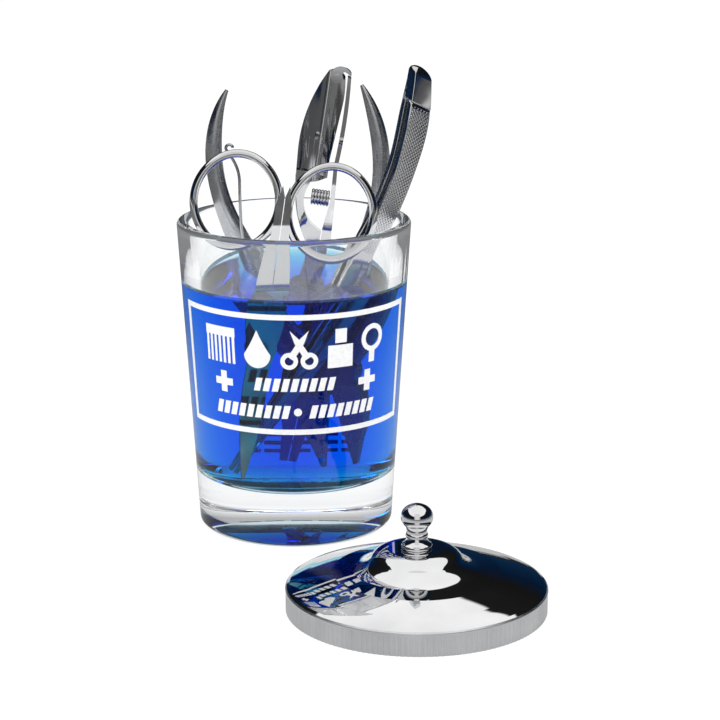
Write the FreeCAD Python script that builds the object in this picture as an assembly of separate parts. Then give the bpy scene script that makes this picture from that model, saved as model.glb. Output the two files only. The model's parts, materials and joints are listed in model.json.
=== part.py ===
import FreeCAD, Part
import math
import os

# A small disinfectant jar for a manicure table: a thick pressed-glass jar, a
# chromed spun lid that lies beside it, and four hand tools that stand in the
# liquid.  Millimetres, +Z up.  The origin is the centre of the jar's foot, on
# the table; +X is to the right and +Y is away from the printed front.

V = FreeCAD.Vector

# ---- jar ------------------------------------------------------------------
JAR_HEIGHT = 88.25
RIM_RADIUS = 33.0
FOOT_RADIUS = 27.6          # the outer wall's radius carried down to the table
HEEL_RADIUS = 1.8
DISH_RADIUS = 22.5          # hollow under the foot
DISH_DEPTH = 4.2
FLOOR_HEIGHT = 14.6         # top of the thick glass base
FLOOR_CORNER = 4.0
INNER_LOW_RADIUS = 23.7
INNER_MID_RADIUS = 27.1
INNER_MID_HEIGHT = 71.0
MOUTH_RADIUS = 29.4
LIP_ROUND = 1.3

# ---- printed marks --------------------------------------------------------
PRINT_THICKNESS = 0.10
FRAME_CENTRE_AZ = 2.25      # degrees round from the front
FRAME_HALF_AZ = 68.9
FRAME_BOTTOM = 33.7
FRAME_TOP = 68.0
FRAME_LINE = 1.5
ICON_HEIGHT = 58.0
ICON_AZ = (-39.5, -17.8, 3.8, 25.3, 44.5)
CROSS_AZ = (-38.0, 42.0)
CROSS_HEIGHT = 47.6
CROSS_SIZE = 6.0
DASH_PITCH_AZ = 4.78
DASH_WIDTH = 1.75
DASH_HEIGHT = 3.7
DASH_SLANT = 0.9            # how far a dash's top stands to the right of its foot
UPPER_ROW = (48.0, 1.5, 9)  # height, middle azimuth, dashes
LOWER_ROWS = ((40.2, -22.3, 9), (40.2, 28.1, 8))
ROW_DOT = (40.2, 3.0, 1.1)
BACK_ROWS = (17.2, 19.7, 22.2)
BACK_DASH_AZ = (164.0, 171.5, 180.0, 188.5, 196.0)
BACK_DASH_LENGTH = 3.2
BACK_DASH_HEIGHT = 1.2

# ---- lid ------------------------------------------------------------------
LID_X = 33.2
LID_Y = -73.55
LID_RADIUS = 34.08
LID_SHEET = 0.55
SKIRT_HEIGHT = 6.75
SKIRT_FLUTES = 150
FLUTE_DEPTH = 0.16
KNOB_SEAT = 16.5            # height of the flat on top of the dome
SEAT_RADIUS = 7.4
SCREW_RADIUS = 1.25

# ---- scissors -------------------------------------------------------------
SCISSORS_PIVOT = (-7.75, -14.5, 56.0)
SCISSORS_LEAN = 8.0
SCISSORS_BACK = 4.86
RING_CENTRE = (13.15, 38.0)
RING_A = 11.75              # half width of the ring's centre line
RING_B = 13.2               # half height
RING_END_RADIUS = 10.3
RING_WIRE = 1.15
BLADE_LENGTH = 38.0
HALF_THICKNESS = 1.5

# ---- cuticle nipper -------------------------------------------------------
NIPPER_PIVOT = (6.5, 6.0, 45.0)
NIPPER_LEAN = -4.7
NIPPER_YAW = -6.0
NIPPER_OPEN = 5.5           # each jaw's opening angle as it stands
NIPPER_LAP = 3.0
NIPPER_HUB = 6.2
NIPPER_JAW = 28.0
RIGHT_HANDLE = ((3.0, 3.0), (8.2, 12.0), (13.2, 23.0), (17.0, 33.0), (20.4, 43.0),
                (22.4, 52.0), (22.9, 62.0), (21.5, 71.5), (19.1, 78.9))
LEFT_HANDLE = ((-3.0, 3.0), (-8.2, 12.0), (-13.6, 23.0), (-18.0, 33.0), (-21.8, 43.0),
               (-24.0, 52.0), (-24.5, 62.0), (-22.7, 72.0), (-19.0, 80.0))
HANDLE_WIDTH = (3.6, 3.9, 3.9, 3.6, 2.9, 2.5, 2.4, 1.8, 0.5)
HANDLE_DEPTH = (2.5, 2.4, 2.3, 2.2, 2.2, 2.2, 2.1, 1.6, 0.45)
SPRING_EYE = (-15.4, 31.6)
SPRING_WIRE = 0.42
SPRING_DEPTH = -2.8         # the wire lies on the front of the handle
SPRING_SCREW_END = -0.5
SPRING_HEADING = -30.0
SPRING_BENDS = ((16.0, 32.0), (300.0, 2.5), (12.0, -32.0), (60.0, -3.0), (1.0, 205.0))

# ---- channel-handled nail nipper ------------------------------------------
PLIER_PIVOT = (3.3, 13.6, 53.2)
PLIER_LEAN = 8.2
PLIER_HUB = 5.2
PLIER_LAP = 2.4
PLIER_JAW = 36.0
LEAF_RIDGE = -3.6           # where the folded handle's ridge runs
CLASP_PIN = (-1.8, 73.6)

# ---- tweezers -------------------------------------------------------------
TWEEZER_POINT = (24.8, -4.1, 89.9)
TWEEZER_LEAN = 28.5
TWEEZER_BACK = 1.9
TWEEZER_TURN = -61.0        # about its own length: the grip faces front and right
TWEEZER_TIP = -82.0
TWEEZER_TOP = 39.0
TWEEZER_ROOT = 32.0
ROOT_GAP = 0.15
BOW_START = -5.0
BOW = (0.0027, 0.0041)      # how strongly the top bends back over, across and along the sheet
ARM_STATIONS = (TWEEZER_TIP, -62.0, -38.0, -12.0, 0.0, 14.0, 28.0, TWEEZER_TOP)
ARM_SPREAD = (1.6, 2.0, 2.4, 2.55, 2.6, 2.95, 3.15, 2.3)
ARM_THICKNESS = (0.65, 1.1, 1.5, 1.8, 2.0, 2.3, 2.4, 1.8)
ARM_HALF_WIDTH = (0.7, 1.9, 2.9, 3.3, 3.4, 3.4, 3.8, 3.2)

FIT = 0.05                  # radial running clearance of the pivots


# ---- helpers --------------------------------------------------------------
def path(start, steps):
    """Edges in the XZ plane: a pair is a line to it, four numbers an arc through and to."""
    edges = []
    here = V(start[0], 0, start[1])
    for step in steps:
        there = V(step[-2], 0, step[-1])
        if len(step) == 4:
            edges.append(Part.Arc(here, V(step[0], 0, step[1]), there).toShape())
        else:
            edges.append(Part.LineSegment(here, there).toShape())
        here = there
    return edges


def bent_rod(start, heading, bends, radius):
    """A round wire of tangent arcs in the XZ plane, starting at a heading from +Z towards +X.

    Each bend is its radius and the angle it turns through, positive towards +X.
    """
    pieces = []
    x, z = start
    for bend, turn in bends:
        side = math.copysign(bend, turn)
        angle = math.radians(heading)
        centre = V(x + side * math.cos(angle), 0, z - side * math.sin(angle))
        ring = Part.makeCircle(radius, V(x, 0, z), V(math.sin(angle), 0, math.cos(angle)))
        disc = Part.Face(Part.Wire(ring))
        pieces.append(disc.revolve(centre, V(0, math.copysign(1, turn), 0), abs(turn)))
        heading += turn
        angle = math.radians(heading)
        x = centre.x - side * math.cos(angle)
        z = centre.z + side * math.sin(angle)
    return fused(pieces)


def other_half(hub, low, high):
    """The room round the pivot that the other half of a lap joint turns in."""
    if low < 0:
        return rod(hub + 0.25, high, 6)
    return rod(hub + 0.25, -6, low)


def outline(start, steps):
    """A face from a closed outline in the XZ plane."""
    return Part.Face(Part.Wire(path(start, steps)))


def dome_middle(edge, rise):
    """Half-way point, out and up, on a spherical cap's arc of the given edge radius and rise."""
    ball = (edge ** 2 + rise ** 2) / (2 * rise)
    return edge / 2, rise - ball + math.sqrt(ball ** 2 - edge ** 2 / 4)


def turned(start, steps):
    """A full turn of a closed outline about the Z axis."""
    return outline(start, steps).revolve(V(0, 0, 0), V(0, 0, 1), 360)


def slab(face, low, high):
    """A face in the XZ plane thickened from y = low to y = high."""
    moved = face.copy()
    moved.translate(V(0, low, 0))
    return moved.extrude(V(0, high - low, 0))


def rod(radius, low, high, at=(0.0, 0.0)):
    """A round rod along Y through the point at in the XZ plane."""
    return Part.makeCylinder(radius, high - low, V(at[0], low, at[1]), V(0, 1, 0))


def fused(shapes):
    whole = shapes[0]
    for other in shapes[1:]:
        whole = whole.fuse(other)
    return whole.removeSplitter()


def mirrored(shape):
    return shape.mirror(V(0, 0, 0), V(1, 0, 0))


def spun(shape, angle, centre=(0.0, 0.0)):
    """Turned about the Y direction, positive from +Z towards +X."""
    turned_shape = shape.copy()
    turned_shape.rotate(V(centre[0], 0, centre[1]), V(0, 1, 0), angle)
    return turned_shape


def smooth_line(points):
    """A smooth curve in the XZ plane through a few points."""
    curve = Part.BSplineCurve()
    curve.interpolate([V(x, 0, z) for x, z in points])
    return curve


def stand(shape, point, lean, back=0.0, yaw=0.0, turn=0.0):
    """Place a tool: turn about its length, lean back and right, then yaw about Z."""
    rotation = FreeCAD.Rotation(V(0, 0, 1), yaw)
    rotation = rotation.multiply(FreeCAD.Rotation(V(0, 1, 0), lean))
    rotation = rotation.multiply(FreeCAD.Rotation(V(1, 0, 0), -back))
    rotation = rotation.multiply(FreeCAD.Rotation(V(0, 0, 1), turn))
    placed = shape.copy()
    placed.Placement = FreeCAD.Placement(V(*point), rotation).multiply(placed.Placement)
    return placed


def save(name, shape):
    solids = shape.Solids
    result = solids[0] if len(solids) == 1 else Part.makeCompound(solids)
    result.exportStep("parts/" + name + ".step")


# ---- jar ------------------------------------------------------------------
def wall_radius(height):
    return FOOT_RADIUS + (RIM_RADIUS - FOOT_RADIUS) * height / JAR_HEIGHT


def glass_jar():
    """Thick base with a hollow foot, tapering wall and a rounded lip."""
    lean = 1 - math.sqrt(0.5)
    heel = HEEL_RADIUS
    corner = FLOOR_CORNER
    flat = INNER_LOW_RADIUS - corner
    lip = LIP_ROUND
    shoulder = JAR_HEIGHT - lip
    dish_x, dish_z = dome_middle(DISH_RADIUS, DISH_DEPTH)
    return turned((0, DISH_DEPTH), [
        (dish_x, dish_z, DISH_RADIUS, 0),
        (wall_radius(0) - heel, 0),
        (wall_radius(0) - heel * lean, heel * lean, wall_radius(heel), heel),
        (wall_radius(shoulder), shoulder),
        (RIM_RADIUS - lip * lean, JAR_HEIGHT - lip * lean, RIM_RADIUS - lip, JAR_HEIGHT),
        (MOUTH_RADIUS + lip, JAR_HEIGHT),
        (MOUTH_RADIUS + lip * lean, JAR_HEIGHT - lip * lean, MOUTH_RADIUS, shoulder),
        (INNER_MID_RADIUS + 0.9, (shoulder + INNER_MID_HEIGHT) / 2,
         INNER_MID_RADIUS, INNER_MID_HEIGHT),
        (INNER_LOW_RADIUS, FLOOR_HEIGHT + corner),
        (flat + corner * math.sqrt(0.5), FLOOR_HEIGHT + corner * lean, flat, FLOOR_HEIGHT),
        (0, FLOOR_HEIGHT),
        (0, DISH_DEPTH)])


def wall_skin():
    """The thin layer on the outer wall that printed marks are cut from."""
    low = 10.0
    high = 75.0
    return turned((wall_radius(low), low), [
        (wall_radius(low) + PRINT_THICKNESS, low),
        (wall_radius(high) + PRINT_THICKNESS, high),
        (wall_radius(high), high),
        (wall_radius(low), low)])


def stamp(face, azimuth):
    """A drawn shape pushed through the wall at an angle round from the front."""
    block = slab(face, -RIM_RADIUS - 2, -FOOT_RADIUS / 2)
    block.rotate(V(0, 0, 0), V(0, 0, 1), azimuth)
    return block


def box_face(x, z, width, height):
    left = x - width / 2
    right = x + width / 2
    low = z - height / 2
    high = z + height / 2
    return outline((left, low), [(right, low), (right, high), (left, high), (left, low)])


def disc_face(x, z, radius):
    return outline((x - radius, z), [(x, z + radius, x + radius, z),
                                     (x, z - radius, x - radius, z)])


def sector(low, high, start, end, reach=40.0):
    """A wedge of space between two heights and two angles round from the front."""
    wedge = Part.makeCylinder(reach, high - low, V(0, 0, low), V(0, 0, 1), end - start)
    wedge.rotate(V(0, 0, 0), V(0, 0, 1), start - 90)
    return wedge


def frame_blocks():
    start = FRAME_CENTRE_AZ - FRAME_HALF_AZ
    end = FRAME_CENTRE_AZ + FRAME_HALF_AZ
    side = math.degrees(FRAME_LINE / wall_radius((FRAME_BOTTOM + FRAME_TOP) / 2))
    outer = sector(FRAME_BOTTOM, FRAME_TOP, start, end)
    inner = sector(FRAME_BOTTOM + FRAME_LINE, FRAME_TOP - FRAME_LINE, start + side, end - side)
    return outer.cut(inner)


def cross_face(z):
    arm = CROSS_SIZE / 3
    return fused([box_face(0, z, arm, CROSS_SIZE), box_face(0, z, CROSS_SIZE, arm)])


def comb_face(z):
    parts = [box_face(0, z + 3.9, 10.4, 2.6)]
    for index in range(7):
        parts.append(box_face(-4.6 + index * 1.533, z - 1.0, 0.8, 8.0))
    return fused(parts)


def drop_face(z):
    return outline((0, z + 5.4), [(1.5, z + 2.2, 3.8, z - 1.6), (0, z - 5.4, -3.8, z - 1.6),
                                  (-1.5, z + 2.2, 0, z + 5.4)])


def shears_face(z):
    """Open scissors: two rings, two crossed blades."""
    parts = []
    for side in (-1, 1):
        eye = (side * 2.75, z - 3.1)
        parts.append(disc_face(*eye, 2.4).cut(disc_face(*eye, 1.2)))
        parts.append(outline((side * 3.1, z - 1.9), [
            (side * 0.1, z + 2.9), (-side * 2.6, z + 5.5), (-side * 1.3, z + 1.9),
            (side * 1.6, z - 2.9), (side * 3.1, z - 1.9)]))
    return fused(parts)


def bottle_face(z):
    """A nail-polish bottle: a square body and a tall cap."""
    return Part.makeCompound([box_face(0, z - 2.3, 7.4, 6.4), box_face(0, z + 3.5, 3.4, 4.0)])


def mirror_face(z):
    """A round hand mirror."""
    glass = disc_face(0, z + 1.6, 3.9).cut(disc_face(0, z + 1.6, 2.5))
    return fused([glass, box_face(0, z - 3.7, 2.0, 3.4)])


def dash_face(z):
    """One leaning dash of the rows that stand for small print."""
    half = DASH_WIDTH / 2
    lean = DASH_SLANT / 2
    low = z - DASH_HEIGHT / 2
    high = z + DASH_HEIGHT / 2
    return outline((-half - lean, low), [(half - lean, low), (half + lean, high),
                                         (-half + lean, high), (-half - lean, low)])


def dash_row(height, middle, count):
    first = middle - DASH_PITCH_AZ * (count - 1) / 2
    return [stamp(dash_face(height), first + DASH_PITCH_AZ * index) for index in range(count)]


def front_frame():
    return wall_skin().common(frame_blocks())


def front_pictures():
    skin = wall_skin()
    drawings = (comb_face, drop_face, shears_face, bottle_face, mirror_face)
    stamps = [stamp(draw(ICON_HEIGHT), az) for draw, az in zip(drawings, ICON_AZ)]
    stamps += [stamp(cross_face(CROSS_HEIGHT), az) for az in CROSS_AZ]
    return skin.common(Part.makeCompound(stamps))


def front_bars():
    dot_height, dot_az, dot_radius = ROW_DOT
    stamps = dash_row(*UPPER_ROW)
    for row in LOWER_ROWS:
        stamps += dash_row(*row)
    stamps.append(stamp(disc_face(0, dot_height, dot_radius), dot_az))
    return wall_skin().common(Part.makeCompound(stamps))


def back_marks():
    skin = wall_skin()
    stamps = []
    for height in BACK_ROWS:
        for az in BACK_DASH_AZ:
            stamps.append(stamp(box_face(0, height, BACK_DASH_LENGTH, BACK_DASH_HEIGHT), az))
    return skin.common(Part.makeCompound(stamps))


# ---- lid ------------------------------------------------------------------
def lid_dome():
    """Spun sheet: a central boss, a hollow slope and a full brim, bored for the screw."""
    t = LID_SHEET
    z0 = KNOB_SEAT
    edge = LID_RADIUS - 0.35
    steps = [
        (SEAT_RADIUS, z0),
        (10.0, 15.8, 12.0, 13.9),
        (14.1, 11.95, 16.8, 10.95),
        (21.9, 10.15),
        (25.3, 9.25, 28.5, 8.3),
        (31.0, 7.55, edge - 0.8, 6.85),
        (edge, SKIRT_HEIGHT - 0.35),
        (edge - t, SKIRT_HEIGHT - 0.35),
        (30.7, 7.65 - t, 28.3, 8.35 - t),
        (25.1, 9.3 - t, 21.8, 10.15 - t),
        (16.6, 11.0 - t),
        (13.7, 11.6, 11.5, 13.55),
        (9.6, 15.25, 7.1, z0 - t),
        (SCREW_RADIUS + FIT, z0 - t),
        (SCREW_RADIUS + FIT, z0),
    ]
    return turned((SCREW_RADIUS + FIT, z0), steps)


def lid_skirt():
    """The upright band, with a bead on top and fine upright flutes round it."""
    t = LID_SHEET
    r = LID_RADIUS
    top = SKIRT_HEIGHT - 0.35
    band = turned((r - t, 0), [
        (r - 0.12, 0),
        (r - 0.12, top - 0.85),
        (r, top - 0.55, r - 0.16, top - 0.25),
        (r - 0.35, top),
        (r - 0.35 - t, top),
        (r - 0.35 - t, top - 0.5),
        (r - t, top - 1.0),
        (r - t, 0)])
    cutters = []
    for index in range(SKIRT_FLUTES):
        angle = 2 * math.pi * index / SKIRT_FLUTES
        reach = r - 0.12 - FLUTE_DEPTH + 0.42
        spot = V(reach * math.cos(angle), reach * math.sin(angle), -1)
        cutters.append(Part.makeCylinder(0.42, top - 0.3, spot))
    return band.cut(Part.makeCompound(cutters))


def lid_knob():
    """A turned baluster: flared foot, thin ring, neck and a flattened ball."""
    z0 = KNOB_SEAT
    bore = SCREW_RADIUS + FIT
    cap_x, cap_z = dome_middle(2.4, 0.65)
    steps = [
        (3.7, z0),
        (4.05, z0 + 0.5, 3.9, z0 + 1.1),
        (3.0, z0 + 2.0, 2.7, z0 + 2.9),
        (2.95, z0 + 3.5, 2.7, z0 + 4.1),
        (2.72, z0 + 5.0, 3.1, z0 + 6.0),
        (4.2, z0 + 8.6, 2.4, z0 + 11.25),
        (cap_x, z0 + 11.25 + cap_z, 0, z0 + 11.9),
        (0, z0 + 7.0),
        (bore, z0 + 7.0),
        (bore, z0),
    ]
    return turned((bore, z0), steps)


def lid_washer():
    under = KNOB_SEAT - LID_SHEET
    return Part.makeCylinder(3.2, 0.6, V(0, 0, under - 0.6)).cut(
        Part.makeCylinder(SCREW_RADIUS + FIT, 0.6, V(0, 0, under - 0.6)))


def lid_screw():
    """Pan-head screw that comes up through the dome into the knob, with a cross slot."""
    under = KNOB_SEAT - LID_SHEET - 0.6
    r = SCREW_RADIUS
    body = turned((0, under - 1.6), [
        (1.4, under - 1.6),
        (2.3, under - 1.2, 2.5, under),
        (r, under),
        (r, KNOB_SEAT + 6.5),
        (0, KNOB_SEAT + 6.5),
        (0, under - 1.6)])
    slots = [Part.makeBox(2.8, 0.5, 0.8, V(-1.4, -0.25, under - 1.6)),
             Part.makeBox(0.5, 2.8, 0.8, V(-0.25, -1.4, under - 1.6))]
    return body.cut(Part.makeCompound(slots))


def on_lid(shape):
    placed = shape.copy()
    placed.translate(V(LID_X, LID_Y, 0))
    return placed


# ---- scissors -------------------------------------------------------------
def finger_ring(side):
    """An oval wire ring: small arcs at its top and bottom, large ones at its sides."""
    shift = RING_B - RING_END_RADIUS
    short = RING_A - RING_END_RADIUS
    large = RING_A + (shift ** 2 - short ** 2) / (2 * short)
    end_turn = math.degrees(math.atan2(large - RING_A, shift))
    side_turn = 180 - 2 * end_turn
    bends = [(RING_END_RADIUS, end_turn), (large, side_turn),
             (RING_END_RADIUS, 2 * end_turn), (large, side_turn), (RING_END_RADIUS, end_turn)]
    ring = bent_rod((-RING_CENTRE[0], RING_CENTRE[1] + RING_B), 90.0, bends, RING_WIRE)
    return mirrored(ring) if side > 0 else ring


def scissor_half(side, low, high):
    """Ring, shank and blade; side is the ring's side, the blade is on the other one."""
    shank = outline((0.1, 41.0), [
        (1.0, 44.0),
        (2.3, 38.0),
        (2.5, 30.5, 3.6, 24.0),
        (4.5, 16.0, 4.7, 9.0),
        (0.1, 9.0),
        (0.1, 41.0)])
    shank = slab(shank, -RING_WIRE, RING_WIRE)
    crossing = outline((0.1, 9.5), [
        (4.7, 9.5),
        (4.2, 3.5, 2.9, -2.0),
        (2.4, -6.0),
        (-2.7, -6.0),
        (-3.9, 0.0),
        (-2.6, 6.0),
        (0.1, 8.8),
        (0.1, 9.5)])
    blade = outline((-2.7, -5.9), [
        (2.4, -5.9),
        (2.5, -20.0, 0.5, -BLADE_LENGTH),
        (0.0, -BLADE_LENGTH),
        (-2.4, -24.0, -2.7, -5.9)])
    flat = slab(fused([crossing, blade]), low, high)
    if side < 0:
        shank = mirrored(shank)
        flat = slab(fused([mirrored(crossing), mirrored(blade)]), low, high)
    half = fused([shank, flat, finger_ring(side)])
    return half.cut(rod(1.0 + FIT, -4, 4))


def scissor_screw():
    shaft = rod(1.0, -2.1, 2.1)
    head = rod(1.9, -2.1, -HALF_THICKNESS - 0.05)
    tail = rod(1.7, HALF_THICKNESS + 0.05, 2.1)
    slot = Part.makeBox(4.2, 0.35, 0.45, V(-2.1, -2.1, -0.22))
    return fused([shaft, head, tail]).cut(slot)


def on_scissors(shape):
    return stand(shape, SCISSORS_PIVOT, SCISSORS_LEAN, back=SCISSORS_BACK)


# ---- cuticle nipper -------------------------------------------------------
def nipper_handle(line):
    """A horn-shaped handle: ovals strung along a bowed line."""
    curve = smooth_line(line)
    wires = []
    for (x, z), wide, deep in zip(line, HANDLE_WIDTH, HANDLE_DEPTH):
        spot = V(x, 0, z)
        tangent = V(*curve.tangent(curve.parameter(spot))[0])
        across = tangent.cross(V(0, 1, 0)).normalize()
        ellipse = Part.Ellipse(spot + across * wide, spot + V(0, deep, 0), spot)
        wires.append(Part.Wire(ellipse.toShape()))
    return Part.makeLoft(wires, True, False)


def nipper_half(side, low, high):
    """Handle on one side, a lap joint, and the jaw on the other side."""
    lap = rod(NIPPER_HUB, low, high)
    jaw = outline((0.25, -5.0), [
        (5.6, -4.0),
        (5.4, -14.0, 3.2, -21.0),
        (1.0, -NIPPER_JAW),
        (0.25, -NIPPER_JAW),
        (0.25, -5.0)])
    jaw = slab(jaw, -NIPPER_LAP, NIPPER_LAP)
    wedge = outline((NIPPER_LAP, -7.0), [(NIPPER_LAP, -4.0), (-NIPPER_LAP, -4.0),
                                         (-NIPPER_LAP, -7.0), (-0.9, -NIPPER_JAW - 1),
                                         (0.9, -NIPPER_JAW - 1), (NIPPER_LAP, -7.0)])
    wedge.rotate(V(0, 0, 0), V(0, 0, 1), 90)
    jaw = jaw.common(wedge.extrude(V(12, 0, 0)))
    room = other_half(NIPPER_HUB, low, high)
    bridge = slab(outline((0.3, -8.5), [(5.0, -8.5), (5.4, -3.0), (0.3, -3.0), (0.3, -8.5)]),
                  low, high)
    jaw = jaw.cut(room)
    if side > 0:
        jaw = mirrored(jaw)
        bridge = mirrored(bridge)
    opening = NIPPER_OPEN if side > 0 else -NIPPER_OPEN
    handle = nipper_handle(RIGHT_HANDLE if side > 0 else LEFT_HANDLE).cut(room)
    body = fused([lap, handle, spun(jaw, opening), spun(bridge, opening)])
    body = body.cut(rod(1.6 + FIT, -5, 5))
    if side < 0:
        body = body.cut(rod(0.75, -5, SPRING_SCREW_END + 0.1, SPRING_EYE))
    return body


def nipper_rivet():
    shaft = rod(1.6, -NIPPER_LAP - 0.05, NIPPER_LAP + 0.05)
    head = rod(2.6, -NIPPER_LAP - 0.7, -NIPPER_LAP - 0.05)
    tail = rod(2.4, NIPPER_LAP + 0.05, NIPPER_LAP + 0.6)
    return fused([shaft, head, tail])


def nipper_spring():
    """A thin wire spring, fixed low on the left handle and curled at its free end."""
    eye_x, eye_z = SPRING_EYE
    wire = bent_rod((eye_x - 0.6, eye_z + 1.05), SPRING_HEADING, SPRING_BENDS, SPRING_WIRE)
    half = SPRING_WIRE + 0.08
    eye = rod(1.5, -half, half, SPRING_EYE).cut(rod(0.75, -half, half, SPRING_EYE))
    spring = fused([wire, eye])
    spring.translate(V(0, SPRING_DEPTH, 0))
    return spring


def nipper_spring_screw():
    eye_x, eye_z = SPRING_EYE
    front = SPRING_DEPTH - SPRING_WIRE - 0.1
    head = rod(1.35, front - 0.65, front, SPRING_EYE)
    shaft = rod(0.7, front, SPRING_SCREW_END, SPRING_EYE)
    slot = Part.makeBox(3.0, 0.4, 0.4, V(eye_x - 1.5, front - 0.65, eye_z - 0.2))
    return fused([head, shaft]).cut(slot)


def on_nipper(shape):
    return stand(shape, NIPPER_PIVOT, NIPPER_LEAN, yaw=NIPPER_YAW)


# ---- channel-handled nail nipper ------------------------------------------
def folded_sheet():
    """A long sheet with a narrow rounded ridge, seen from above and drawn upwards."""
    fold = outline((-12.0, -4.0), [
        (-8.0, 0.2, LEAF_RIDGE - 0.9, 2.2),
        (LEAF_RIDGE, 2.6, LEAF_RIDGE + 0.9, 2.2),
        (-0.6, 0.5, 4.0, -0.4),
        (4.0, -1.6),
        (-1.0, -0.7, LEAF_RIDGE + 0.7, 1.0),
        (LEAF_RIDGE, 1.3, LEAF_RIDGE - 0.7, 1.0),
        (-7.3, -0.8, -12.0, -5.4),
        (-12.0, -4.0)])
    sheet = slab(fold, -90, 0)
    sheet.rotate(V(0, 0, 0), V(1, 0, 0), -90)
    return sheet.mirror(V(0, 0, 0), V(0, 1, 0))


def plier_left(low, high):
    """Broad folded handle with a long ridge, a window for the spring, and the right jaw."""
    leaf = outline((-0.3, 74.9), [
        (-2.2, 75.9, -4.2, 75.3),
        (-8.7, 63.6, -9.8, 49.5),
        (-9.4, 42.0),
        (-4.6, 43.2, -0.5, 44.6),
        (-0.5, 50.0),
        (0.2, 57.5, 1.0, 66.0),
        (1.0, 71.0, 0.6, 74.0),
        (-0.3, 74.9)])
    channel = folded_sheet().common(slab(leaf, -6, 6))
    shank = outline((-9.6, 46.0), [
        (-8.4, 36.0, -3.1, 24.0),
        (-3.1, 3.0),
        (-0.12, 3.0),
        (-0.12, 29.0),
        (-5.6, 34.5, -5.4, 42.0),
        (-4.4, 46.0),
        (-9.6, 46.0)])
    body = plier_body(channel, slab(shank, -2.0, 2.0), low, high, 1)
    return body.cut(rod(0.6, -5, 5, CLASP_PIN))


def plier_right(low, high):
    """Thin strip handle, straight shank and the left jaw."""
    strip = outline((1.25, 74.2), [
        (2.3, 73.8),
        (2.7, 61.0, 2.0, 48.0),
        (2.6, 38.0),
        (2.9, 30.0),
        (3.1, 24.0),
        (3.1, 3.0),
        (0.12, 3.0),
        (0.12, 30.0),
        (1.3, 38.0),
        (0.9, 48.0),
        (1.55, 61.0, 1.25, 74.2)])
    return plier_body(None, slab(strip, -2.0, 2.0), low, high, -1)


def plier_body(channel, shank, low, high, jaw_side):
    lap = rod(PLIER_HUB, low, high)
    room = other_half(PLIER_HUB, low, high)
    jaw = outline((0.1, -4.0), [
        (4.6, -2.0),
        (4.4, -14.0, 2.4, -26.0),
        (1.6, -PLIER_JAW),
        (0.1, -PLIER_JAW),
        (0.1, -4.0)])
    bridge = outline((0.12, -7.0), [(4.4, -7.0), (4.6, -1.0), (0.12, -1.0), (0.12, -7.0)])
    if jaw_side < 0:
        jaw = mirrored(jaw)
        bridge = mirrored(bridge)
    pieces = [lap, shank.cut(room), slab(jaw, -2.0, 2.0).cut(room), slab(bridge, low, high)]
    if channel:
        pieces.append(channel)
    return fused(pieces).cut(rod(1.4 + FIT, -4, 4))


def plier_rivet():
    shaft = rod(1.4, -PLIER_LAP - 0.05, PLIER_LAP + 0.05)
    head = rod(2.5, -PLIER_LAP - 0.6, -PLIER_LAP - 0.05)
    tail = rod(2.3, PLIER_LAP + 0.05, PLIER_LAP + 0.5)
    return fused([shaft, head, tail])


def plier_spring():
    """A short barrel spring in the window, as a ribbed roller across the handles."""
    turns = 6
    length = 5.2
    pitch = length / turns
    steps = []
    for index in range(turns):
        base = index * pitch
        steps.append((2.35, base + pitch / 2, 1.95, base + pitch))
    barrel = turned((0, 0), [(1.95, 0)] + steps + [(0, length), (0, 0)])
    barrel.rotate(V(0, 0, 0), V(0, 1, 0), -90)
    barrel.translate(V(0.9, 0, 38.6))
    return barrel


def plier_clasp():
    """A bent clip hinged on the left handle, its hook lying over the right handle's end."""
    x, z = CLASP_PIN
    plate = outline((x - 1.2, z - 1.0), [
        (x - 1.7, z + 1.6, x - 0.3, z + 3.1),
        (x + 2.2, z + 3.2, x + 4.0, z + 1.4),
        (x + 3.8, z + 0.7),
        (x + 2.4, z + 2.1, x + 1.3, z + 1.3),
        (x + 0.9, z - 1.3, x - 1.2, z - 1.0)])
    clip = slab(plate, -3.3, -2.75)
    over = slab(outline((x + 1.9, z + 2.6), [
        (x + 3.1, z + 2.3, x + 4.0, z + 1.4),
        (x + 3.8, z + 0.8),
        (x + 2.9, z + 1.6, x + 1.7, z + 2.0),
        (x + 1.9, z + 2.6)]), -2.8, 2.4)
    return fused([clip, over]).cut(rod(0.6 + FIT, -5, 5, CLASP_PIN))


def plier_clasp_pin():
    x, z = CLASP_PIN
    return fused([rod(0.6, -3.35, 1.4, (x, z)), rod(1.05, -3.85, -3.35, (x, z))])


def on_plier(shape):
    return stand(shape, PLIER_PIVOT, PLIER_LEAN)


# ---- tweezers -------------------------------------------------------------
def bowed(height, strength):
    """How far the tool's middle line has bent aside at a height."""
    return -strength * max(0.0, height - BOW_START) ** 2


def tweezer_side(side, inner):
    """The outer or inner line of one arm, seen edge-on."""
    points = []
    for height, spread, thickness in zip(ARM_STATIONS, ARM_SPREAD, ARM_THICKNESS):
        depth = thickness if inner else 0.0
        points.append((bowed(height, BOW[0]) + side * (spread - depth), height))
    return points


def arm_slab(side):
    outer = smooth_line(tweezer_side(side, False)).toShape()
    inner = smooth_line(tweezer_side(side, True)).toShape()
    ends = [outer.valueAt(outer.FirstParameter), inner.valueAt(inner.FirstParameter),
            outer.valueAt(outer.LastParameter), inner.valueAt(inner.LastParameter)]
    wire = Part.Wire(Part.__sortEdges__([
        outer, inner, Part.LineSegment(ends[0], ends[1]).toShape(),
        Part.LineSegment(ends[2], ends[3]).toShape()]))
    return slab(Part.Face(wire), -14, 6)


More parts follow.
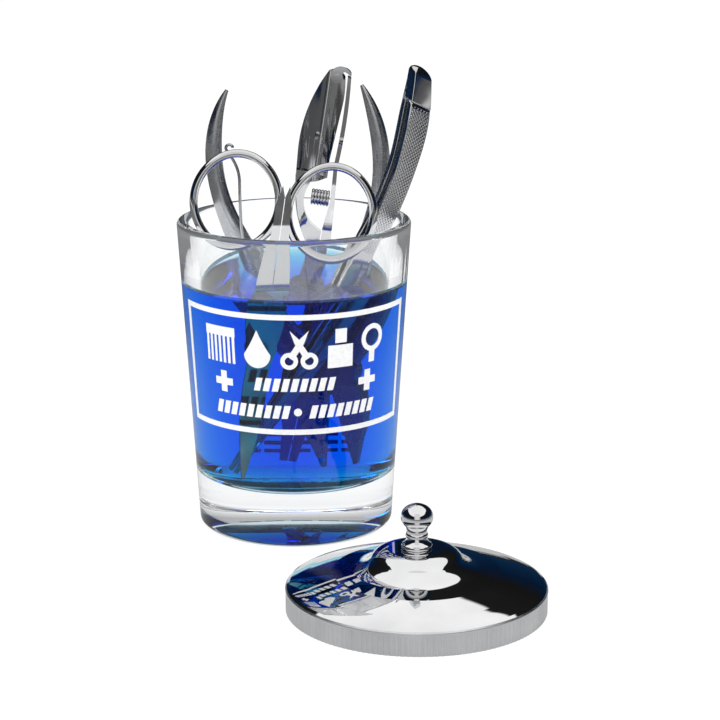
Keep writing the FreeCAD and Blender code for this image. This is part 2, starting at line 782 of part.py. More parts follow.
def arm_width_block():
    """What the arms' faces look like from outside, as a block to trim them with."""
    middles = [bowed(height, BOW[1]) for height in ARM_STATIONS]
    rows = list(zip(middles, ARM_HALF_WIDTH, ARM_STATIONS))
    right = smooth_line([(y + w, z) for y, w, z in rows]).toShape()
    left = smooth_line([(y - w, z) for y, w, z in rows]).toShape()
    half = ARM_HALF_WIDTH[-1]
    top = Part.Arc(V(middles[-1] - half, 0, TWEEZER_TOP),
                   V(middles[-1] - 0.4, 0, TWEEZER_TOP + 0.9 * half),
                   V(middles[-1] + half, 0, TWEEZER_TOP)).toShape()
    foot = Part.LineSegment(V(-ARM_HALF_WIDTH[0], 0, TWEEZER_TIP),
                            V(ARM_HALF_WIDTH[0], 0, TWEEZER_TIP)).toShape()
    block = slab(Part.Face(Part.Wire(Part.__sortEdges__([right, top, left, foot]))), -14, 14)
    block.rotate(V(0, 0, 0), V(0, 0, 1), 90)
    return block


def level_box(low, high):
    return Part.makeBox(40, 40, high - low, V(-20, -20, low))


def tweezer_fixed():
    """The left arm with the solid top that both arms grow from."""
    arm = arm_slab(-1)
    spine = smooth_line(tweezer_side(1, False)).toShape()
    back = smooth_line(tweezer_side(-1, False)).toShape()
    ends = [spine.valueAt(spine.FirstParameter), back.valueAt(back.FirstParameter),
            spine.valueAt(spine.LastParameter), back.valueAt(back.LastParameter)]
    crown = (ends[2] + ends[3]) * 0.5 + V(-0.3, 0, 0.95 * ARM_SPREAD[-1])
    wire = Part.Wire(Part.__sortEdges__([
        spine, back, Part.LineSegment(ends[0], ends[1]).toShape(),
        Part.Arc(ends[2], crown, ends[3]).toShape()]))
    cap = slab(Part.Face(wire), -14, 6).common(level_box(TWEEZER_ROOT + ROOT_GAP, 60))
    return fused([arm, cap]).common(arm_width_block())


def tweezer_moving():
    arm = arm_slab(1).common(level_box(-90, TWEEZER_ROOT))
    return arm.common(arm_width_block())


def on_tweezers(shape):
    return stand(shape, TWEEZER_POINT, TWEEZER_LEAN, back=TWEEZER_BACK, turn=TWEEZER_TURN)


# ---- the whole set --------------------------------------------------------
def build():
    os.makedirs("parts", exist_ok=True)
    save("glass_jar", glass_jar())
    save("front_frame", front_frame())
    save("front_pictures", front_pictures())
    save("front_bars", front_bars())
    save("back_marks", back_marks())

    save("lid_dome", on_lid(lid_dome()))
    save("lid_skirt", on_lid(lid_skirt()))
    save("lid_knob", on_lid(lid_knob()))
    save("lid_washer", on_lid(lid_washer()))
    save("lid_screw", on_lid(lid_screw()))

    save("scissors_left", on_scissors(scissor_half(-1, -HALF_THICKNESS, 0)))
    save("scissors_right", on_scissors(scissor_half(1, 0.03, HALF_THICKNESS)))
    save("scissors_screw", on_scissors(scissor_screw()))

    save("nipper_left", on_nipper(nipper_half(-1, -NIPPER_LAP, 0)))
    save("nipper_right", on_nipper(nipper_half(1, 0.04, NIPPER_LAP)))
    save("nipper_rivet", on_nipper(nipper_rivet()))
    save("nipper_spring", on_nipper(nipper_spring()))
    save("nipper_spring_screw", on_nipper(nipper_spring_screw()))

    save("plier_left", on_plier(plier_left(-PLIER_LAP, 0)))
    save("plier_right", on_plier(plier_right(0.04, PLIER_LAP)))
    save("plier_rivet", on_plier(plier_rivet()))
    save("plier_spring", on_plier(plier_spring()))
    save("plier_clasp", on_plier(plier_clasp()))
    save("plier_clasp_pin", on_plier(plier_clasp_pin()))

    save("tweezers_fixed", on_tweezers(tweezer_fixed()))
    save("tweezers_moving", on_tweezers(tweezer_moving()))


build()
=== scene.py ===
import json
import math

import bpy
import bmesh
from mathutils import Matrix, Vector


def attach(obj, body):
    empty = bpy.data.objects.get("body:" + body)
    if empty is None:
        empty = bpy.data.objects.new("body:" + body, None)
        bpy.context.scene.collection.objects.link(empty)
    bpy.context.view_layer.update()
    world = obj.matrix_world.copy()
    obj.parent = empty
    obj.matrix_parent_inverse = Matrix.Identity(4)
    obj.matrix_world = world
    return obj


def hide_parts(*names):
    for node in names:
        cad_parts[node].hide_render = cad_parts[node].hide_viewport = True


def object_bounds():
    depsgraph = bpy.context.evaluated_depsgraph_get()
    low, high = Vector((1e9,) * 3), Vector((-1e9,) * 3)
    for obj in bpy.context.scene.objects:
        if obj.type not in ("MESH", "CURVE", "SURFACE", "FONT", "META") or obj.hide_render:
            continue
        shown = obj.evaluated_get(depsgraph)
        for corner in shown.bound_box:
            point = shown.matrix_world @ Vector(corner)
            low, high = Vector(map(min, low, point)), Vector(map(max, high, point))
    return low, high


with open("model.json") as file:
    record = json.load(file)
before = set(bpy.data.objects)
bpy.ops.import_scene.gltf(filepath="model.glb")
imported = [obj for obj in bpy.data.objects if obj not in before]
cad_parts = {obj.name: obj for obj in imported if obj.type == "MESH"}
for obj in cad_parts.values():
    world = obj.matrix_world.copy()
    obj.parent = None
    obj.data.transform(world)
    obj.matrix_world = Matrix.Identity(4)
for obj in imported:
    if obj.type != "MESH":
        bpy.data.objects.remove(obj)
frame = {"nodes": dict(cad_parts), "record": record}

CAD_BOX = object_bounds()
NODES = frame["nodes"]
MM = 0.001

# ---- camera ---------------------------------------------------------------
CAMERA_PLACE = (18.54 * MM, -635.0 * MM, 214.5 * MM)
CAMERA_PITCH = 14.766            # degrees downwards
CAMERA_LENS = 115.0              # millimetres, on a 36 mm sensor


def make_camera():
    """The photo's view: from the front, looking down at the set."""
    data = bpy.data.cameras.new("camera")
    data.lens = CAMERA_LENS
    data.sensor_width = 36.0
    data.clip_start = 0.01
    data.clip_end = 100.0
    camera = bpy.data.objects.new("camera", data)
    camera.location = CAMERA_PLACE
    camera.rotation_euler = (math.radians(90 - CAMERA_PITCH), 0, 0)
    bpy.context.scene.collection.objects.link(camera)
    bpy.context.scene.camera = camera


# ---- material helpers -----------------------------------------------------
def math_node(nodes, links, operation, *values):
    """A maths node: each value is a number to set or a socket to join."""
    node = nodes.new("ShaderNodeMath")
    node.operation = operation
    for socket, value in zip(node.inputs, values):
        if isinstance(value, float):
            socket.default_value = value
        else:
            links.new(value, socket)
    return node.outputs[0]


def colour_ramp(nodes, links, source, stops):
    """Colours along source, from (position, grey or colour) stops."""
    node = nodes.new("ShaderNodeValToRGB")
    elements = node.color_ramp.elements
    while len(elements) < len(stops):
        elements.new(0.5)
    for element, (spot, tone) in zip(elements, stops):
        element.position = spot
        colour = (tone, tone, tone) if isinstance(tone, float) else tone
        element.color = (*colour, 1)
    links.new(source, node.inputs["Fac"])
    return node.outputs["Color"]


class Tree:
    """A material under construction: short calls that add nodes and join them."""

    def __init__(self, name):
        self.material = bpy.data.materials.new(name)
        self.material.use_nodes = True
        self.nodes = self.material.node_tree.nodes
        self.links = self.material.node_tree.links
        self.nodes.clear()
        self.output = self.nodes.new("ShaderNodeOutputMaterial")
        self.shader = self.nodes.new("ShaderNodeBsdfPrincipled")
        self.links.new(self.shader.outputs[0], self.output.inputs["Surface"])
        self.place = self.nodes.new("ShaderNodeTexCoord").outputs["Object"]

    def set(self, **values):
        for name, value in values.items():
            self.shader.inputs[name.replace("_", " ")].default_value = value
        return self

    def join(self, source, target):
        self.links.new(source, target)

    def math(self, operation, *values):
        return math_node(self.nodes, self.links, operation, *values)

    def axis_distance(self):
        """Distance from the jar's axis and height above the table, in metres."""
        split = self.nodes.new("ShaderNodeSeparateXYZ")
        self.join(self.place, split.inputs[0])
        x, y, z = split.outputs
        square = self.math("MULTIPLY", y, y)
        return self.math("SQRT", self.math("MULTIPLY_ADD", x, x, square)), z

    def stretched(self, scale):
        """The place in the object, drawn out along the axes whose scale is small."""
        node = self.nodes.new("ShaderNodeMapping")
        node.inputs["Scale"].default_value = scale
        self.join(self.place, node.inputs["Vector"])
        return node.outputs[0]

    def noise(self, scale, detail=4.0, rough=0.55, at=None):
        node = self.nodes.new("ShaderNodeTexNoise")
        node.inputs["Scale"].default_value = scale
        node.inputs["Detail"].default_value = detail
        node.inputs["Roughness"].default_value = rough
        self.join(at or self.place, node.inputs["Vector"])
        return node.outputs["Fac"]

    def ramp(self, source, stops):
        return colour_ramp(self.nodes, self.links, source, stops)

    def span(self, source, low, high, out_low, out_high):
        """Source taken from low..high to out_low..out_high, and held inside it."""
        node = self.nodes.new("ShaderNodeMapRange")
        node.inputs["From Min"].default_value = low
        node.inputs["From Max"].default_value = high
        node.inputs["To Min"].default_value = out_low
        node.inputs["To Max"].default_value = out_high
        self.join(source, node.inputs["Value"])
        return node.outputs["Result"]

    def bump(self, height, distance, strength=1.0):
        """Small relief: distance is its full height in metres."""
        node = self.nodes.new("ShaderNodeBump")
        node.inputs["Strength"].default_value = strength
        node.inputs["Distance"].default_value = distance
        self.join(height, node.inputs["Height"])
        self.join(node.outputs["Normal"], self.shader.inputs["Normal"])


def steel(name, tone, gloss, waves=0.0, brush=None):
    """Bare or plated metal: a tone that drifts a little, wiping marks, and for stamped sheet
    long shallow waves that run along it."""
    t = Tree(name).set(Metallic=1.0)
    drift = t.noise(60.0, 3.0)
    dark = tuple(c * 0.86 for c in tone)
    t.join(t.ramp(drift, ((0.3, dark), (0.7, tone))), t.shader.inputs["Base Color"])
    wipe = t.noise(220.0, 5.0, 0.65, t.stretched(brush or (1, 1, 1)))
    t.join(t.span(wipe, 0.3, 0.75, gloss * 0.7, gloss * 1.5), t.shader.inputs["Roughness"])
    if waves:
        t.bump(t.noise(260.0, 1.0, 0.4, t.stretched((1, 1, 0.07))), waves)
    return t.material


def enamel():
    """White screen print, a little uneven and half glossy."""
    t = Tree("white_enamel").set(Specular_IOR_Level=0.5, Coat_Weight=0.3, Coat_Roughness=0.08)
    speck = t.noise(900.0, 3.0)
    t.join(t.ramp(speck, ((0.3, (0.86, 0.87, 0.88)), (0.6, (0.96, 0.96, 0.96)))),
           t.shader.inputs["Base Color"])
    t.join(t.span(speck, 0.3, 0.7, 0.28, 0.45), t.shader.inputs["Roughness"])
    t.bump(speck, 0.00002, 0.4)
    return t.material


LIQUID_TOP = 70.5                # millimetres above the table
MENISCUS = 0.9                   # how far the liquid climbs up the wall, in millimetres
LIQUID_ABSORBS = 260.0           # per metre, in red
LIQUID_TINT = (0.0, 0.80, 0.992)
SURFACE_DEPTH = 0.3              # millimetres below its top that still count as the surface
GLASS_IOR = 1.5
LIQUID_IOR = 1.33
WETTED_RADIUS = 0.0275           # metres, between the jar's inside and outside walls
WETTED_FLOOR = 0.013             # metres, just under the inside of the jar's floor
PAINTED_RIM_GLOW = 0.045                 # painted glow: a faint light given to the dry glass wall above the liquid, though it is no lamp


def glass():
    """Clear glass; where the liquid wets its inside the step in IOR is only glass to liquid."""
    t = Tree("jar_glass").set(Transmission_Weight=1.0)
    across, height = t.axis_distance()
    inside = t.math("LESS_THAN", across, WETTED_RADIUS)
    below = t.math("LESS_THAN", height, LIQUID_TOP * MM)
    above = t.math("GREATER_THAN", height, WETTED_FLOOR)
    wetted = t.math("MULTIPLY", inside, t.math("MULTIPLY", below, above))
    t.join(t.math("MULTIPLY_ADD", wetted, GLASS_IOR / LIQUID_IOR - GLASS_IOR, GLASS_IOR),
           t.shader.inputs["IOR"])
    # Painted glow: above the liquid and its meniscus the glass gives off a faint light of its own.
    painted_glow_above = t.math("GREATER_THAN", height, (LIQUID_TOP + MENISCUS) * MM)
    t.join(t.math("MULTIPLY", painted_glow_above, PAINTED_RIM_GLOW), t.shader.inputs["Emission Strength"])
    t.set(Emission_Color=(0.92, 0.94, 0.95, 1))
    tint = t.noise(25.0, 2.0)
    t.join(t.ramp(tint, ((0.3, (0.90, 0.91, 0.915)), (0.7, (0.92, 0.93, 0.935)))),
           t.shader.inputs["Base Color"])
    t.join(t.span(t.noise(120.0, 3.0), 0.35, 0.75, 0.0, 0.012), t.shader.inputs["Roughness"])
    t.bump(t.noise(70.0, 2.0, 0.4, t.stretched((1, 1, 0.45))), 0.00012, 0.5)
    return t.material


def liquid_blue():
    """Blue liquid: its sides lie in the glass and bend nothing, its top surface does."""
    t = Tree("disinfectant").set(Transmission_Weight=1.0)
    surface = t.math("GREATER_THAN", t.axis_distance()[1], (LIQUID_TOP - SURFACE_DEPTH) * MM)
    t.join(t.math("MULTIPLY_ADD", surface, LIQUID_IOR - 1.0, 1.0), t.shader.inputs["IOR"])
    swirl = t.noise(30.0, 2.0)
    t.join(t.ramp(swirl, ((0.3, (0.96, 0.985, 1.0)), (0.7, (1.0, 1.0, 1.0)))),
           t.shader.inputs["Base Color"])
    t.join(t.span(swirl, 0.3, 0.7, 0.0, 0.01), t.shader.inputs["Roughness"])
    t.bump(t.noise(90.0, 2.0), 0.0004, 0.35)
    absorb = t.nodes.new("ShaderNodeVolumeAbsorption")
    absorb.inputs["Color"].default_value = (*LIQUID_TINT, 1)
    absorb.inputs["Density"].default_value = LIQUID_ABSORBS
    t.join(absorb.outputs[0], t.output.inputs["Volume"])
    return t.material


# ---- meshes ---------------------------------------------------------------
def new_object(name, mesh):
    thing = bpy.data.objects.new(name, mesh)
    bpy.context.scene.collection.objects.link(thing)
    return thing


def spun_mesh(name, profile, steps):
    """A closed solid of revolution about the jar's axis, from (radius, height) in millimetres."""
    rings = []
    shape = bmesh.new()
    for radius, height in profile:
        if radius == 0:
            rings.append([shape.verts.new((0.0, 0.0, height * MM))])
            continue
        ring = []
        for index in range(steps):
            angle = 2 * math.pi * index / steps
            ring.append(shape.verts.new((radius * math.cos(angle) * MM,
                                         radius * math.sin(angle) * MM, height * MM)))
        rings.append(ring)
    for low, high in zip(rings, rings[1:]):
        for index in range(steps):
            after = (index + 1) % steps
            if len(low) == 1:
                shape.faces.new((low[0], high[after], high[index]))
            elif len(high) == 1:
                shape.faces.new((low[index], low[after], high[0]))
            else:
                shape.faces.new((low[index], low[after], high[after], high[index]))
    bmesh.ops.recalc_face_normals(shape, faces=shape.faces)
    mesh = bpy.data.meshes.new(name)
    shape.to_mesh(mesh)
    shape.free()
    for face in mesh.polygons:
        face.use_smooth = True
    return new_object(name, mesh)


# The jar's cavity, in millimetres: its floor's height, the corner round it, and where the
# straight wall starts and ends as (radius, height).
CAVITY_FLOOR = 14.6
CAVITY_CORNER = 4.0
CORNER_CENTRE = 19.7
WALL_LOW = (23.7, 18.6)
WALL_HIGH = (27.1, 71.0)
LIQUID_REACH = 0.15              # how far it runs into the glass, so no air shows between
CORNER_STEPS = 6
LIQUID_STEPS = 128
# The meniscus: distance in from the wall in millimetres, and share of its full rise.
MENISCUS_CURVE = ((0.12, 0.75), (0.4, 0.42), (0.9, 0.16), (1.7, 0.03), (2.6, 0.0), (8.0, 0.0),
                  (16.0, 0.0))


def cavity_radius(height):
    """The jar's inside radius, in millimetres."""
    share = (height - WALL_LOW[1]) / (WALL_HIGH[1] - WALL_LOW[1])
    return WALL_LOW[0] + (WALL_HIGH[0] - WALL_LOW[0]) * share


def make_liquid():
    floor = CAVITY_FLOOR - LIQUID_REACH
    corner = CAVITY_CORNER + LIQUID_REACH
    profile = [(0, floor), (10.0, floor), (CORNER_CENTRE, floor)]
    for step in range(1, CORNER_STEPS + 1):
        angle = math.radians(90 * step / CORNER_STEPS)
        profile.append((CORNER_CENTRE + corner * math.sin(angle),
                        floor + corner * (1 - math.cos(angle))))
    for height in (30.0, 45.0, 58.0, 66.0, LIQUID_TOP + MENISCUS):
        profile.append((cavity_radius(height) + LIQUID_REACH, height))
    wall = cavity_radius(LIQUID_TOP)
    for inset, rise in MENISCUS_CURVE:
        profile.append((wall - inset, LIQUID_TOP + rise * MENISCUS))
    profile.append((0, LIQUID_TOP))
    liquid = spun_mesh("liquid", profile, LIQUID_STEPS)
    liquid.data.materials.append(liquid_blue())
    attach(liquid, "jar")


# ---- knurled tweezers -----------------------------------------------------
JOINTS = {joint["name"]: joint for joint in frame["record"]["behaviour"]["joints"]}


def tool_place(slide, hinge, mark):
    """Where a tool's own drawing sits: Z along its slide, Y along its hinge, mark on the hinge."""
    along = Vector(JOINTS[slide]["axis"]).normalized()
    across = Vector(JOINTS[hinge]["axis"]).normalized()
    turn = Matrix((across.cross(along), across, along)).transposed()
    origin = Vector(JOINTS[hinge]["pos_m"]) - turn @ (Vector(mark) * MM)
    return turn, origin


# Height, half spread, sheet thickness and half width of the arms, in millimetres.
ARM_STATIONS = ((-82.0, 1.6, 0.65, 0.7), (-62.0, 2.0, 1.1, 1.9), (-38.0, 2.4, 1.5, 2.9),
                (-12.0, 2.55, 1.8, 3.3), (0.0, 2.6, 2.0, 3.4), (14.0, 2.95, 2.3, 3.4),
                (28.0, 3.15, 2.4, 3.8), (39.0, 2.3, 1.8, 3.2))
ARM_ROOT = 32.0
ARM_TOP = 39.0
ARM_BOW = (0.0027, 0.0041)
BOW_START = -5.0
ROOT_BOW = (ARM_ROOT - BOW_START) ** 2
HINGE_MARK = (1.9 - ARM_BOW[0] * ROOT_BOW, -ARM_BOW[1] * ROOT_BOW, ARM_ROOT)
SOLID_FROM = ARM_ROOT + 0.15     # above it the back arm is solid across
DOME_RISE = 2.3
DOME_STEPS = 8
DOME_END = 88.0                  # degrees up the dome where it is closed with a small flat
KNURL_LOW = -12.0
KNURL_HIGH = 31.4
KNURL_PITCH = 1.1
KNURL_DEPTH = 0.30
KNURL_STEP = 0.14
FACE_COLUMNS = 52
EDGE_ROUND = 0.55
EDGE_STEPS = 4
CROWN = 0.30                     # how far the outer face falls away at its edges


def smooth_between(stations, height):
    """Values between stations on a smooth curve through them."""
    last = len(stations) - 2
    index = 0
    while index < last and height > stations[index + 1][0]:
        index += 1
    before = stations[max(index - 1, 0)]
    low, high = stations[index], stations[index + 1]
    after = stations[min(index + 2, len(stations) - 1)]
    gap = high[0] - low[0]
    share = (height - low[0]) / gap
    values = []
    for item in range(1, len(low)):
        slope_low = (high[item] - before[item]) / (high[0] - before[0]) * gap
        slope_high = (after[item] - low[item]) / (after[0] - low[0]) * gap
        rise = high[item] - low[item]
        bend = slope_low + slope_high - 2 * rise
        values.append(low[item] + slope_low * share
                      + (3 * rise - 2 * slope_low - slope_high) * share ** 2
                      + bend * share ** 3)
    return values


def knurl(across, height, half_width):
    """How far the diamond grip stands out at a spot on an arm's face."""
    left = abs(2 * (((across + height) / KNURL_PITCH) % 1.0) - 1)
    right = abs(2 * (((across - height) / KNURL_PITCH) % 1.0) - 1)
    fade = min(1.0, max(0.0, height - KNURL_LOW), max(0.0, KNURL_HIGH - height),
               max(0.0, (half_width - EDGE_ROUND - abs(across)) * 3))
    return KNURL_DEPTH * fade * (1 - max(left, right))


def arm_section(side, height, inner, outer, half_width, shrink, knurled):
    """One closed loop round an arm: the outer face first, then a rounded edge, back and edge."""
    middle = (inner + outer) / 2
    corner = min(EDGE_ROUND, (outer - inner) * 0.45)
    loop = []
    face = half_width - corner
    for index in range(FACE_COLUMNS + 1):
        across = -face + 2 * face * index / FACE_COLUMNS
        stand_out = knurl(across, height, half_width) if knurled else 0.0
        fall = CROWN * (across / half_width) ** 2
        loop.append((outer - fall + stand_out, across))
    rounds = ((outer - CROWN, face, 0.0), (inner, face, 90.0), (inner, -face, 180.0),
              (outer - CROWN, -face, 270.0))
    for number, (edge, across, start) in enumerate(rounds):
        centre_x = edge - corner if number in (0, 3) else edge + corner
        for step in range(1, EDGE_STEPS + 1):
            angle = math.radians(start + 90.0 * step / EDGE_STEPS)
            if number == 3 and step == EDGE_STEPS:
                continue
            loop.append((centre_x + corner * math.cos(angle), across + corner * math.sin(angle)))
    bow = max(0.0, height - BOW_START) ** 2
    points = []
    for x, y in loop:
        x = middle + (x - middle) * shrink
        points.append((side * x - ARM_BOW[0] * bow, side * y * shrink - ARM_BOW[1] * bow, height))
    return points


def arm_heights():
    """Where the arms' sections are cut: few below the grip, close together along it."""
    heights = [station[0] for station in ARM_STATIONS[:3]]
    heights += [-70.0, -50.0, -26.0, -18.0]
    rows = int((KNURL_HIGH - KNURL_LOW) / KNURL_STEP)
    heights += [KNURL_LOW + KNURL_STEP * row for row in range(rows + 1)]
    return sorted(heights)


def lofted(name, loops):
    """A closed mesh over loops with equal counts, with a flat cap at each end."""
    shape = bmesh.new()
    rings = [[shape.verts.new(point) for point in loop] for loop in loops]
    count = len(rings[0])
    for low, high in zip(rings, rings[1:]):
        for index in range(count):
            after = (index + 1) % count
            shape.faces.new((low[index], low[after], high[after], high[index]))
    shape.faces.new(rings[0])
    shape.faces.new(rings[-1])
    bmesh.ops.recalc_face_normals(shape, faces=shape.faces)
    mesh = bpy.data.meshes.new(name)
    shape.to_mesh(mesh)
    shape.free()
    for face in mesh.polygons:
        face.use_smooth = len(face.vertices) == 4
    return new_object(name, mesh)


def tweezer_arm(name, side, place):
    """The grip arm ends at its root; the fixed arm carries the solid domed top as well."""
    turn, origin = place
    loops = []
    for height in arm_heights():
        spread, sheet, half = smooth_between(ARM_STATIONS, height)
        loops.append((height, spread - sheet, spread, half, 1.0))
    if side > 0:
        spread, sheet, half = smooth_between(ARM_STATIONS, ARM_ROOT)
        loops.append((ARM_ROOT, spread - sheet, spread, half, 1.0))
    else:
        for height in (32.14, 32.16, 32.4, 33.5, 35.0, 37.0, ARM_TOP):
            spread, sheet, half = smooth_between(ARM_STATIONS, height)
            inner = spread - sheet if height < SOLID_FROM else -spread
            loops.append((height, inner, spread, half, 1.0))
        spread, sheet, half = ARM_STATIONS[-1][1:]
        for step in range(1, DOME_STEPS + 1):
            angle = math.radians(DOME_END * step / DOME_STEPS)
            loops.append((ARM_TOP + DOME_RISE * math.sin(angle), -spread, spread, half,
                          math.cos(angle)))
    rings = []
    for height, inner, outer, half, shrink in loops:
        ring = arm_section(side, height, inner, outer, half, shrink, shrink == 1.0)
        rings.append([origin + turn @ (Vector(point) * MM) for point in ring])
    return lofted(name, rings)


def make_tweezers(finish):
    place = tool_place("tweezers_lift", "tweezers_squeeze", HINGE_MARK)
    for name, side, body, node in (("tweezers_grip_arm", 1, "tweezers_arm", "tweezers_moving"),
                                   ("tweezers_back_arm", -1, "tweezers", "tweezers_fixed")):
        arm = tweezer_arm(name, side, place)
        arm.data.materials.append(finish)
        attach(arm, body)
        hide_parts(node)


# ---- studio ---------------------------------------------------------------
WALL_SHARE = 0.10                # mirrored surroundings seen inside the glass wall,
INSIDE_SHARE = 0.40              # in the tools behind it,
LIQUID_SHARE = 0.85              # and in the tools in the liquid
LIQUID_DIMS = 0.55
BEHIND_GLASS = 2.5               # crossings of glass: more than two, and more than four
IN_LIQUID = 4.5


def seen_in_metal(nodes, links):
    """Share of the mirrored surroundings, and how bright they are.

    The share is 1 for light mirrored by bare metal, less where glass bent it as well, and 0
    for light seen straight. Light that crossed glass only twice was mirrored inside the glass
    wall; light that crossed it four times, by the tools behind the wall; beyond that, by
    those in the liquid, which see dimmer surroundings.
    """
    def math_of(*values):
        return math_node(nodes, links, *values)

    path = nodes.new("ShaderNodeLightPath")
    crossings = path.outputs["Transmission Depth"]
    mirrored = math_of("MINIMUM", path.outputs["Glossy Depth"], 1.0)
    bent = math_of("MINIMUM", crossings, 1.0)
    behind = math_of("GREATER_THAN", crossings, BEHIND_GLASS)
    immersed = math_of("GREATER_THAN", crossings, IN_LIQUID)
    keep = math_of("MULTIPLY_ADD", bent, WALL_SHARE - 1.0, 1.0)
    keep = math_of("MULTIPLY_ADD", behind, INSIDE_SHARE - WALL_SHARE, keep)
    keep = math_of("MULTIPLY_ADD", immersed, LIQUID_SHARE - INSIDE_SHARE, keep)
    dimmed = math_of("MULTIPLY", mirrored, immersed)
    bright = math_of("MULTIPLY_ADD", dimmed, LIQUID_DIMS - 1.0, 1.0)
    return math_of("MULTIPLY", mirrored, keep), bright


def mixed(nodes, links, share, first, second):
    """First where share is 0, second where it is 1; each is a grey or a socket to join."""
    mix = nodes.new("ShaderNodeMix")
    mix.data_type = "RGBA"
    links.new(share, mix.inputs["Factor"])
    for name, end in (("A", first), ("B", second)):
        if isinstance(end, float):
            mix.inputs[name].default_value = (end, end, end, 1)
        else:
            links.new(end, mix.inputs[name])
    return mix.outputs["Result"]


FLOOR_REACH = 12.0               # metres; the stops below are shares of it
FLOOR_GLOW = 0.93
FLOOR_IN_METAL = ((0.0, 0.42), (0.012, 0.38), (0.020, 0.035), (0.075, 0.02), (0.085, 0.60),
                  (0.110, 0.60), (0.130, 0.02), (1.0, 0.015))


def make_floor():
    """A glowing white table; mirrored in metal it shows dark and pale rings instead."""
    shape = bmesh.new()
    bmesh.ops.create_circle(shape, cap_ends=True, segments=64, radius=FLOOR_REACH)
    mesh = bpy.data.meshes.new("floor")
    shape.to_mesh(mesh)
    shape.free()
    floor = new_object("floor", mesh)
    floor.location.z = CAD_BOX[0][2]
    t = Tree("floor_white")
    length = t.nodes.new("ShaderNodeVectorMath")
    length.operation = "LENGTH"
    t.join(t.place, length.inputs[0])
    share = t.math("DIVIDE", length.outputs["Value"], FLOOR_REACH)
    metal, bright = seen_in_metal(t.nodes, t.links)
    glow = mixed(t.nodes, t.links, metal, FLOOR_GLOW, t.ramp(share, FLOOR_IN_METAL))
    t.join(glow, t.shader.inputs["Emission Color"])
    t.join(bright, t.shader.inputs["Emission Strength"])
    t.set(Base_Color=(0.10, 0.10, 0.10, 1), Roughness=0.9)
    floor.data.materials.append(t.material)


def area_light(name, place, size, watts):
    """A soft light aimed at the jar, which metal does not mirror."""
    data = bpy.data.lights.new(name, "AREA")
    data.shape = "RECTANGLE"
    data.size, data.size_y = size
    data.energy = watts
    light = bpy.data.objects.new(name, data)
    light.location = place
    aim = Vector(LIGHTS_AIM) - Vector(place)
    light.rotation_euler = aim.to_track_quat("-Z", "Y").to_euler()
    light.visible_glossy = False
    bpy.context.scene.collection.objects.link(light)


# Colours of the sky by height, from the horizon (0) to straight up (1).
SKY_PLAIN = ((0.0, 1.0), (0.1, 0.9), (0.5, 0.55), (1.0, 0.7))
BLUE_CARD = (0.004, 0.022, 0.062)
SKY_IN_METAL = ((0.0, 0.02), (0.06, BLUE_CARD), (0.30, (0.002, 0.010, 0.030)), (0.42, 0.008),
                (0.685, 0.012), (0.70, 1.0), (1.0, 0.95))
FRONT_CARD = 0.75                # grey of a tall card behind the viewer
FRONT_EDGE = -0.55               # it starts this far round towards the viewer
CARD_SIDES = ((0.0, 1.0), (0.22, 1.0), (0.40, 0.0), (1.0, 0.0))
FRONT_LIFT = -0.28               # the white sky comes lower down on the viewer's side
LIGHTS_AIM = (0.01, -0.02, 0.05)
LIGHTS = (("key_overhead", (0.0, -0.15, 1.0), (0.5, 0.4), 7.0),
          ("side_left", (-0.7, -0.75, 0.55), (0.25, 0.7), 3.0),
          ("side_right", (0.9, -0.2, 0.45), (0.2, 0.7), 2.5))


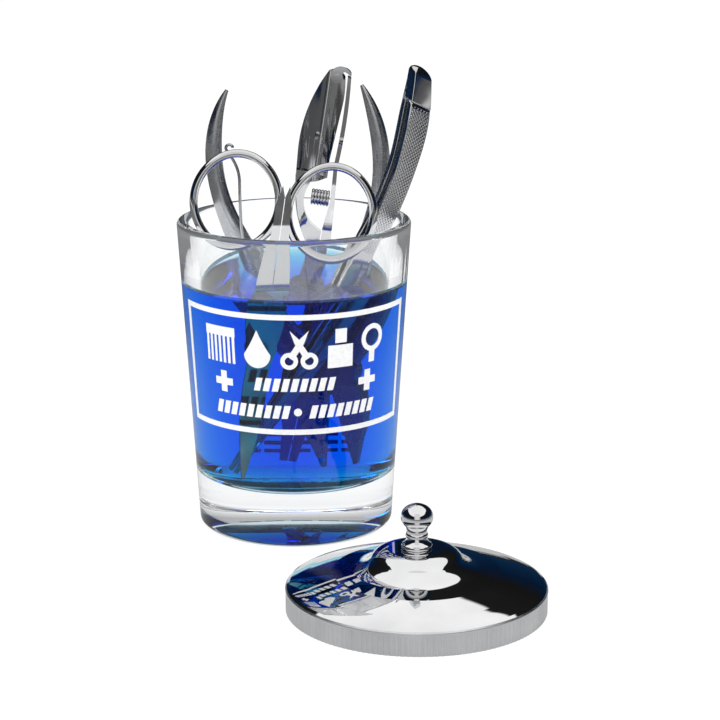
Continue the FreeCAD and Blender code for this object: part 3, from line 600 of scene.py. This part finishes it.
def make_studio():
    """The sky seen straight, the darker one seen in metal, and three soft lights."""
    world = bpy.data.worlds.new("studio")
    bpy.context.scene.world = world
    world.use_nodes = True
    nodes, links = world.node_tree.nodes, world.node_tree.links
    background = nodes["Background"]
    coord = nodes.new("ShaderNodeTexCoord")
    split = nodes.new("ShaderNodeSeparateXYZ")
    links.new(coord.outputs["Generated"], split.inputs[0])
    metal, bright = seen_in_metal(nodes, links)
    links.new(bright, background.inputs["Strength"])
    plain = colour_ramp(nodes, links, split.outputs["Z"], SKY_PLAIN)
    nearer = math_node(nodes, links, "MINIMUM", split.outputs["Y"], 0.0)
    lifted = math_node(nodes, links, "MULTIPLY_ADD", nearer, FRONT_LIFT, split.outputs["Z"])
    dark = colour_ramp(nodes, links, lifted, SKY_IN_METAL)
    aside = math_node(nodes, links, "ABSOLUTE", split.outputs["X"])
    ahead = math_node(nodes, links, "LESS_THAN", split.outputs["Y"], FRONT_EDGE)
    card = math_node(nodes, links, "MULTIPLY", ahead, colour_ramp(nodes, links, aside, CARD_SIDES))
    mirrored = mixed(nodes, links, card, dark, FRONT_CARD)
    links.new(mixed(nodes, links, metal, plain, mirrored), background.inputs["Color"])
    for name, place, size, watts in LIGHTS:
        area_light(name, place, size, watts)


# ---- finishes -------------------------------------------------------------
def finish_nodes():
    chrome = steel("lid_chrome", (0.90, 0.90, 0.91), 0.02)
    skirt = steel("skirt_satin", (0.84, 0.85, 0.86), 0.34, brush=(1, 1, 0.02))
    mirror = steel("polished_steel", (0.80, 0.80, 0.81), 0.05)
    stamped = steel("stamped_steel", (0.72, 0.72, 0.73), 0.05, waves=0.0005)
    satin = steel("satin_steel", (0.60, 0.61, 0.63), 0.24)
    plain = steel("plain_steel", (0.66, 0.66, 0.67), 0.2)
    spring = steel("spring_steel", (0.6, 0.6, 0.6), 0.18)
    white = enamel()
    looks = {
        "glass_jar": glass(),
        "front_frame": white, "front_pictures": white, "front_bars": white,
        "back_marks": white,
        "lid_dome": chrome, "lid_knob": chrome, "lid_skirt": skirt,
        "lid_washer": plain, "lid_screw": plain,
        "scissors_left": mirror, "scissors_right": mirror, "scissors_screw": plain,
        "nipper_left": satin, "nipper_right": satin, "nipper_rivet": plain,
        "nipper_spring": spring, "nipper_spring_screw": plain,
        "plier_left": stamped, "plier_right": mirror, "plier_rivet": plain,
        "plier_spring": mirror, "plier_clasp": mirror, "plier_clasp_pin": mirror,
        "tweezers_fixed": mirror, "tweezers_moving": mirror,
    }
    for name, finish in looks.items():
        for slot in NODES[name].material_slots:
            slot.material = finish


make_camera()
make_floor()
make_studio()
finish_nodes()
make_liquid()
make_tweezers(steel("grip_steel", (0.74, 0.74, 0.75), 0.10))
bpy.context.scene.view_settings.view_transform = "Standard"
